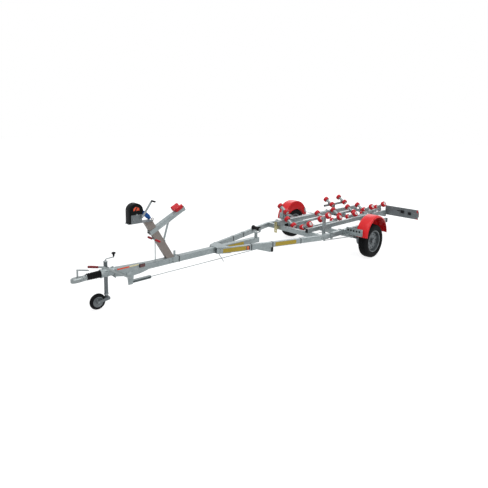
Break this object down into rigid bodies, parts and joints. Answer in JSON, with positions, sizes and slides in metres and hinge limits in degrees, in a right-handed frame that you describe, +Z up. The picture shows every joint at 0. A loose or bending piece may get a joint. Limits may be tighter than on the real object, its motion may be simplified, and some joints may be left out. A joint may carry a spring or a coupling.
{
  "type": "boat trailer",
  "caption": "Braked boat trailer with swinging twin rollers, keel roller, winch post with hand winch and bow stop, jockey wheel and overrun coupling.",
  "frame": {"origin": "bottom centre of the overall box, on the ground midway between the coupling's nose and the lamp board's rear", "axes": "+X forward to the coupling, +Y to the trailer's left, +Z up"},
  "size_m": [6.53, 2.05, 1.327],
  "materials": {
    "galvanised": "dull zinc",
    "zinc": "satin",
    "yellow_zinc": "yellow passivated",
    "dark_steel": "satin",
    "roller_red": "satin",
    "plastic_red": "satin",
    "guard_red": "gloss",
    "lamp_red": "gloss",
    "black_rubber": "matte",
    "black_plastic": "satin",
    "tyre_rubber": "matte",
    "rim_silver": "satin silver",
    "board_grey": "matt",
    "webbing_blue": "woven"
  },
  "bodies": {
    "trailer": {"bellows": "black_rubber", "bow_snubber": "roller_red", "brake_linkage": "zinc", "carrier_plate": "yellow_zinc", "coupling": "zinc", "crossbeams": "galvanised", "drawbar": "galvanised", "end_caps": "black_plastic", "frame_brackets": "galvanised", "handbrake_lever": "zinc", "jockey_crank": "zinc", "jockey_tube": "zinc", "lamp_board": "board_grey", "lamps": "lamp_red", "main_rails": "galvanised", "mudguards": "guard_red", "overrun_housing": "zinc", "red_grips": "plastic_red", "side_beams": "galvanised", "snubber_arm": "galvanised", "strap_hook": "dark_steel", "strap_tail": "webbing_blue", "torsion_axle": "galvanised", "winch_frame": "zinc", "winch_hood": "black_plastic", "winch_post": "galvanised"},
    "wheel_left": {"tyre_left": "tyre_rubber", "rim_left": "rim_silver"},
    "rocker_outer_left_body": {"rocker_outer_left": "galvanised"},
    "rocker_front_left_body": {"rocker_front_left": "galvanised"},
    "rocker_rear_left_body": {"rocker_rear_left": "galvanised"},
    "twin_outer_front_left": {"rollers_outer_front_left": "roller_red"},
    "twin_outer_middle_left": {"rollers_outer_middle_left": "roller_red"},
    "twin_outer_rear_left": {"rollers_outer_rear_left": "roller_red"},
    "twin_inner_front_left": {"rollers_inner_front_left": "roller_red"},
    "twin_inner_axle_left": {"rollers_inner_axle_left": "roller_red"},
    "twin_inner_middle_left": {"rollers_inner_middle_left": "roller_red"},
    "twin_inner_rear_left": {"rollers_inner_rear_left": "roller_red"},
    "twin_inner_tail_left": {"rollers_inner_tail_left": "roller_red"},
    "wheel_right": {"tyre_right": "tyre_rubber", "rim_right": "rim_silver"},
    "rocker_outer_right_body": {"rocker_outer_right": "galvanised"},
    "rocker_front_right_body": {"rocker_front_right": "galvanised"},
    "rocker_rear_right_body": {"rocker_rear_right": "galvanised"},
    "twin_outer_front_right": {"rollers_outer_front_right": "roller_red"},
    "twin_outer_middle_right": {"rollers_outer_middle_right": "roller_red"},
    "twin_outer_rear_right": {"rollers_outer_rear_right": "roller_red"},
    "twin_inner_front_right": {"rollers_inner_front_right": "roller_red"},
    "twin_inner_axle_right": {"rollers_inner_axle_right": "roller_red"},
    "twin_inner_middle_right": {"rollers_inner_middle_right": "roller_red"},
    "twin_inner_rear_right": {"rollers_inner_rear_right": "roller_red"},
    "twin_inner_tail_right": {"rollers_inner_tail_right": "roller_red"},
    "jockey_slider": {"jockey_leg": "zinc"},
    "jockey_caster": {"jockey_fork": "zinc"},
    "jockey_roll_body": {"jockey_wheel": "black_rubber"},
    "keel_roller_body": {"keel_roller": "black_rubber"},
    "drum": {"winch_drum": "zinc", "strap_roll": "webbing_blue"},
    "crank": {"winch_crank": "zinc"}
  },
  "joints": [
    {"name": "wheel_left_turn", "type": "hinge", "parent": "trailer", "child": "wheel_left", "pos_m": [-1.665, 0.9045, 0.295], "axis": [0, 1, 0], "continuous": true},
    {"name": "rocker_outer_left_swing", "type": "hinge", "parent": "trailer", "child": "rocker_outer_left_body", "pos_m": [-2.465, 0.45, 0.655], "axis": [0, 1, 0], "range_deg": [-7, 7]},
    {"name": "rocker_front_left_swing", "type": "hinge", "parent": "trailer", "child": "rocker_front_left_body", "pos_m": [-1.205, 0.18, 0.515], "axis": [0, 1, 0], "range_deg": [-7, 7]},
    {"name": "rocker_rear_left_swing", "type": "hinge", "parent": "trailer", "child": "rocker_rear_left_body", "pos_m": [-2.465, 0.18, 0.515], "axis": [0, 1, 0], "range_deg": [-7, 7]},
    {"name": "twin_outer_front_left_roll", "type": "hinge", "parent": "trailer", "child": "twin_outer_front_left", "pos_m": [-0.88, 0.465, 0.74], "axis": [0, 0.866, 0.5], "continuous": true},
    {"name": "twin_outer_middle_left_roll", "type": "hinge", "parent": "rocker_outer_left_body", "child": "twin_outer_middle_left", "pos_m": [-2.295, 0.45, 0.72], "axis": [0, 0.866, 0.5], "continuous": true},
    {"name": "twin_outer_rear_left_roll", "type": "hinge", "parent": "rocker_outer_left_body", "child": "twin_outer_rear_left", "pos_m": [-2.75, 0.45, 0.72], "axis": [0, 0.866, 0.5], "continuous": true},
    {"name": "twin_inner_front_left_roll", "type": "hinge", "parent": "rocker_front_left_body", "child": "twin_inner_front_left", "pos_m": [-0.755, 0.18, 0.555], "axis": [0, 0.866, 0.5], "continuous": true},
    {"name": "twin_inner_axle_left_roll", "type": "hinge", "parent": "rocker_front_left_body", "child": "twin_inner_axle_left", "pos_m": [-1.645, 0.18, 0.555], "axis": [0, 0.866, 0.5], "continuous": true},
    {"name": "twin_inner_middle_left_roll", "type": "hinge", "parent": "rocker_rear_left_body", "child": "twin_inner_middle_left", "pos_m": [-2.165, 0.18, 0.555], "axis": [0, 0.866, 0.5], "continuous": true},
    {"name": "twin_inner_rear_left_roll", "type": "hinge", "parent": "rocker_rear_left_body", "child": "twin_inner_rear_left", "pos_m": [-2.685, 0.18, 0.555], "axis": [0, 0.866, 0.5], "continuous": true},
    {"name": "twin_inner_tail_left_roll", "type": "hinge", "parent": "trailer", "child": "twin_inner_tail_left", "pos_m": [-3.065, 0.18, 0.555], "axis": [0, 0.866, 0.5], "continuous": true},
    {"name": "wheel_right_turn", "type": "hinge", "parent": "trailer", "child": "wheel_right", "pos_m": [-1.665, -0.9045, 0.295], "axis": [0, 1, 0], "continuous": true},
    {"name": "rocker_outer_right_swing", "type": "hinge", "parent": "trailer", "child": "rocker_outer_right_body", "pos_m": [-2.465, -0.45, 0.655], "axis": [0, 1, 0], "range_deg": [-7, 7]},
    {"name": "rocker_front_right_swing", "type": "hinge", "parent": "trailer", "child": "rocker_front_right_body", "pos_m": [-1.205, -0.18, 0.515], "axis": [0, 1, 0], "range_deg": [-7, 7]},
    {"name": "rocker_rear_right_swing", "type": "hinge", "parent": "trailer", "child": "rocker_rear_right_body", "pos_m": [-2.465, -0.18, 0.515], "axis": [0, 1, 0], "range_deg": [-7, 7]},
    {"name": "twin_outer_front_right_roll", "type": "hinge", "parent": "trailer", "child": "twin_outer_front_right", "pos_m": [-0.88, -0.465, 0.74], "axis": [0, 0.866, -0.5], "continuous": true},
    {"name": "twin_outer_middle_right_roll", "type": "hinge", "parent": "rocker_outer_right_body", "child": "twin_outer_middle_right", "pos_m": [-2.295, -0.45, 0.72], "axis": [0, 0.866, -0.5], "continuous": true},
    {"name": "twin_outer_rear_right_roll", "type": "hinge", "parent": "rocker_outer_right_body", "child": "twin_outer_rear_right", "pos_m": [-2.75, -0.45, 0.72], "axis": [0, 0.866, -0.5], "continuous": true},
    {"name": "twin_inner_front_right_roll", "type": "hinge", "parent": "rocker_front_right_body", "child": "twin_inner_front_right", "pos_m": [-0.755, -0.18, 0.555], "axis": [0, 0.866, -0.5], "continuous": true},
    {"name": "twin_inner_axle_right_roll", "type": "hinge", "parent": "rocker_front_right_body", "child": "twin_inner_axle_right", "pos_m": [-1.645, -0.18, 0.555], "axis": [0, 0.866, -0.5], "continuous": true},
    {"name": "twin_inner_middle_right_roll", "type": "hinge", "parent": "rocker_rear_right_body", "child": "twin_inner_middle_right", "pos_m": [-2.165, -0.18, 0.555], "axis": [0, 0.866, -0.5], "continuous": true},
    {"name": "twin_inner_rear_right_roll", "type": "hinge", "parent": "rocker_rear_right_body", "child": "twin_inner_rear_right", "pos_m": [-2.685, -0.18, 0.555], "axis": [0, 0.866, -0.5], "continuous": true},
    {"name": "twin_inner_tail_right_roll", "type": "hinge", "parent": "trailer", "child": "twin_inner_tail_right", "pos_m": [-3.065, -0.18, 0.555], "axis": [0, 0.866, -0.5], "continuous": true},
    {"name": "jockey_slide", "type": "slide", "parent": "trailer", "child": "jockey_slider", "axis": [0, 0, 1], "range_m": [-0.15, 0]},
    {"name": "jockey_swivel", "type": "hinge", "parent": "jockey_slider", "child": "jockey_caster", "pos_m": [2.79, -0.118, 0.134], "axis": [0, 0, 1], "continuous": true},
    {"name": "jockey_wheel_turn", "type": "hinge", "parent": "jockey_caster", "child": "jockey_roll_body", "pos_m": [2.906, -0.118, 0.1], "axis": [0, 1, 0], "continuous": true},
    {"name": "keel_roller_turn", "type": "hinge", "parent": "trailer", "child": "keel_roller_body", "pos_m": [0.295, 0, 0.645], "axis": [0, 1, 0], "continuous": true},
    {"name": "winch_drum_turn", "type": "hinge", "parent": "trailer", "child": "drum", "pos_m": [2.445, 0, 1.16], "axis": [0, 1, 0], "continuous": true},
    {"name": "winch_crank_turn", "type": "hinge", "parent": "trailer", "child": "crank", "pos_m": [2.38, 0.06, 1.122], "axis": [0, 1, 0], "continuous": true}
  ],
  "couplings": [
    {"joint": "winch_drum_turn", "follows": "winch_crank_turn", "ratio": -0.2}
  ]
}
